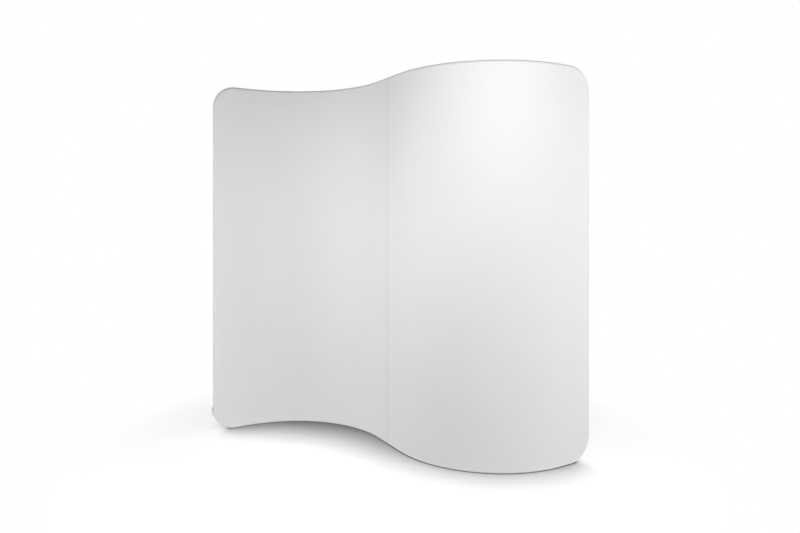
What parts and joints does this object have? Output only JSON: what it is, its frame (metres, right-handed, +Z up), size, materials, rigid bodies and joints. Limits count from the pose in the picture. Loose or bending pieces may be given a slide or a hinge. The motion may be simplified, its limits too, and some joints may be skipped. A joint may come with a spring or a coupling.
{
  "type": "display wall",
  "caption": "Free-standing S-curved display wall: a plug-together tube frame with sprung snap buttons in a zip-on stretch-fabric cover, standing on its lower edge.",
  "frame": {"origin": "middle of the lower edge, on the floor", "axes": "+X along the chord of the S, to the right as seen from the front; +Y to the back; +Z up"},
  "size_m": [2.4121, 0.6706, 2.3],
  "materials": {
    "tube": "satin",
    "button": "satin",
    "spring": "satin",
    "cover": "matte",
    "seam": "matte",
    "tape": "matte",
    "chain": "gloss",
    "stop": "matte",
    "slider": "satin",
    "pull": "matte"
  },
  "bodies": {
    "wall": {"tee_top": "tube", "tee_bottom": "tube", "rail_top_left": "tube", "rail_top_right": "tube", "rail_bottom_left": "tube", "rail_bottom_right": "tube", "corner_top_left": "tube", "corner_top_right": "tube", "corner_bottom_left": "tube", "corner_bottom_right": "tube", "post_left_lower": "tube", "post_left_upper": "tube", "post_right_lower": "tube", "post_right_upper": "tube", "post_centre_lower": "tube", "post_centre_upper": "tube", "front_panel": "cover", "back_panel": "cover", "cover_seam": "seam", "zip_tape_front": "tape", "zip_tape_back": "tape", "zip_chain": "chain", "zip_stops": "stop", "snap_spring_tee_top_left": "spring", "snap_spring_tee_top_right": "spring", "snap_spring_tee_bottom_left": "spring", "snap_spring_tee_bottom_right": "spring", "snap_spring_rail_top_left": "spring", "snap_spring_rail_top_right": "spring", "snap_spring_rail_bottom_left": "spring", "snap_spring_rail_bottom_right": "spring", "snap_spring_post_left_head": "spring", "snap_spring_post_right_head": "spring", "snap_spring_post_left_foot": "spring", "snap_spring_post_right_foot": "spring", "snap_spring_post_left_middle": "spring", "snap_spring_post_right_middle": "spring", "snap_spring_post_centre_head": "spring", "snap_spring_post_centre_foot": "spring", "snap_spring_post_centre_middle": "spring"},
    "snap_button_tee_top_left": {"snap_button_tee_top_left": "button"},
    "snap_button_tee_top_right": {"snap_button_tee_top_right": "button"},
    "snap_button_tee_bottom_left": {"snap_button_tee_bottom_left": "button"},
    "snap_button_tee_bottom_right": {"snap_button_tee_bottom_right": "button"},
    "snap_button_rail_top_left": {"snap_button_rail_top_left": "button"},
    "snap_button_rail_top_right": {"snap_button_rail_top_right": "button"},
    "snap_button_rail_bottom_left": {"snap_button_rail_bottom_left": "button"},
    "snap_button_rail_bottom_right": {"snap_button_rail_bottom_right": "button"},
    "snap_button_post_left_head": {"snap_button_post_left_head": "button"},
    "snap_button_post_right_head": {"snap_button_post_right_head": "button"},
    "snap_button_post_left_foot": {"snap_button_post_left_foot": "button"},
    "snap_button_post_right_foot": {"snap_button_post_right_foot": "button"},
    "snap_button_post_left_middle": {"snap_button_post_left_middle": "button"},
    "snap_button_post_right_middle": {"snap_button_post_right_middle": "button"},
    "snap_button_post_centre_head": {"snap_button_post_centre_head": "button"},
    "snap_button_post_centre_foot": {"snap_button_post_centre_foot": "button"},
    "snap_button_post_centre_middle": {"snap_button_post_centre_middle": "button"},
    "zip_slider": {"zip_slider": "slider"},
    "zip_pull": {"zip_pull": "pull"}
  },
  "joints": [
    {"name": "press_tee_top_left", "type": "slide", "parent": "wall", "child": "snap_button_tee_top_left", "axis": [0, 0, 1], "range_m": [0, 0.005], "stiffness_N_per_m": 1500, "springref_m": -0.003, "deforming": ["snap_spring_tee_top_left"]},
    {"name": "press_tee_top_right", "type": "slide", "parent": "wall", "child": "snap_button_tee_top_right", "axis": [0, 0, 1], "range_m": [0, 0.005], "stiffness_N_per_m": 1500, "springref_m": -0.003, "deforming": ["snap_spring_tee_top_right"]},
    {"name": "press_tee_bottom_left", "type": "slide", "parent": "wall", "child": "snap_button_tee_bottom_left", "axis": [0, 0, -1], "range_m": [0, 0.005], "stiffness_N_per_m": 1500, "springref_m": -0.003, "deforming": ["snap_spring_tee_bottom_left"]},
    {"name": "press_tee_bottom_right", "type": "slide", "parent": "wall", "child": "snap_button_tee_bottom_right", "axis": [0, 0, -1], "range_m": [0, 0.005], "stiffness_N_per_m": 1500, "springref_m": -0.003, "deforming": ["snap_spring_tee_bottom_right"]},
    {"name": "press_rail_top_left", "type": "slide", "parent": "wall", "child": "snap_button_rail_top_left", "axis": [0, 0, 1], "range_m": [0, 0.005], "stiffness_N_per_m": 1500, "springref_m": -0.003, "deforming": ["snap_spring_rail_top_left"]},
    {"name": "press_rail_top_right", "type": "slide", "parent": "wall", "child": "snap_button_rail_top_right", "axis": [0, 0, 1], "range_m": [0, 0.005], "stiffness_N_per_m": 1500, "springref_m": -0.003, "deforming": ["snap_spring_rail_top_right"]},
    {"name": "press_rail_bottom_left", "type": "slide", "parent": "wall", "child": "snap_button_rail_bottom_left", "axis": [0, 0, -1], "range_m": [0, 0.005], "stiffness_N_per_m": 1500, "springref_m": -0.003, "deforming": ["snap_spring_rail_bottom_left"]},
    {"name": "press_rail_bottom_right", "type": "slide", "parent": "wall", "child": "snap_button_rail_bottom_right", "axis": [0, 0, -1], "range_m": [0, 0.005], "stiffness_N_per_m": 1500, "springref_m": -0.003, "deforming": ["snap_spring_rail_bottom_right"]},
    {"name": "press_post_left_head", "type": "slide", "parent": "wall", "child": "snap_button_post_left_head", "axis": [-0.7352, -0.6779, 0], "range_m": [0, 0.005], "stiffness_N_per_m": 1500, "springref_m": -0.003, "deforming": ["snap_spring_post_left_head"]},
    {"name": "press_post_right_head", "type": "slide", "parent": "wall", "child": "snap_button_post_right_head", "axis": [0.7352, 0.6779, 0], "range_m": [0, 0.005], "stiffness_N_per_m": 1500, "springref_m": -0.003, "deforming": ["snap_spring_post_right_head"]},
    {"name": "press_post_left_foot", "type": "slide", "parent": "wall", "child": "snap_button_post_left_foot", "axis": [-0.7352, -0.6779, 0], "range_m": [0, 0.005], "stiffness_N_per_m": 1500, "springref_m": -0.003, "deforming": ["snap_spring_post_left_foot"]},
    {"name": "press_post_right_foot", "type": "slide", "parent": "wall", "child": "snap_button_post_right_foot", "axis": [0.7352, 0.6779, 0], "range_m": [0, 0.005], "stiffness_N_per_m": 1500, "springref_m": -0.003, "deforming": ["snap_spring_post_right_foot"]},
    {"name": "press_post_left_middle", "type": "slide", "parent": "wall", "child": "snap_button_post_left_middle", "axis": [-0.7352, -0.6779, 0], "range_m": [0, 0.005], "stiffness_N_per_m": 1500, "springref_m": -0.003, "deforming": ["snap_spring_post_left_middle"]},
    {"name": "press_post_right_middle", "type": "slide", "parent": "wall", "child": "snap_button_post_right_middle", "axis": [0.7352, 0.6779, 0], "range_m": [0, 0.005], "stiffness_N_per_m": 1500, "springref_m": -0.003, "deforming": ["snap_spring_post_right_middle"]},
    {"name": "press_post_centre_head", "type": "slide", "parent": "wall", "child": "snap_button_post_centre_head", "axis": [-0.6779, 0.7352, 0], "range_m": [0, 0.005], "stiffness_N_per_m": 1500, "springref_m": -0.003, "deforming": ["snap_spring_post_centre_head"]},
    {"name": "press_post_centre_foot", "type": "slide", "parent": "wall", "child": "snap_button_post_centre_foot", "axis": [-0.6779, 0.7352, 0], "range_m": [0, 0.005], "stiffness_N_per_m": 1500, "springref_m": -0.003, "deforming": ["snap_spring_post_centre_foot"]},
    {"name": "press_post_centre_middle", "type": "slide", "parent": "wall", "child": "snap_button_post_centre_middle", "axis": [-0.6779, 0.7352, 0], "range_m": [0, 0.005], "stiffness_N_per_m": 1500, "springref_m": -0.003, "deforming": ["snap_spring_post_centre_middle"]},
    {"name": "zip_run", "type": "hinge", "parent": "wall", "child": "zip_slider", "pos_m": [-1.09051, 0.08812, 0.1498], "axis": [0.6779, -0.7352, 0], "range_deg": [0, 65], "deforming": ["zip_chain"]},
    {"name": "pull_swing", "type": "hinge", "parent": "zip_slider", "child": "zip_pull", "pos_m": [-1.20344, -0.016, 0.1459], "axis": [-0.6779, 0.7352, 0], "range_deg": [0, 175]}
  ]
}
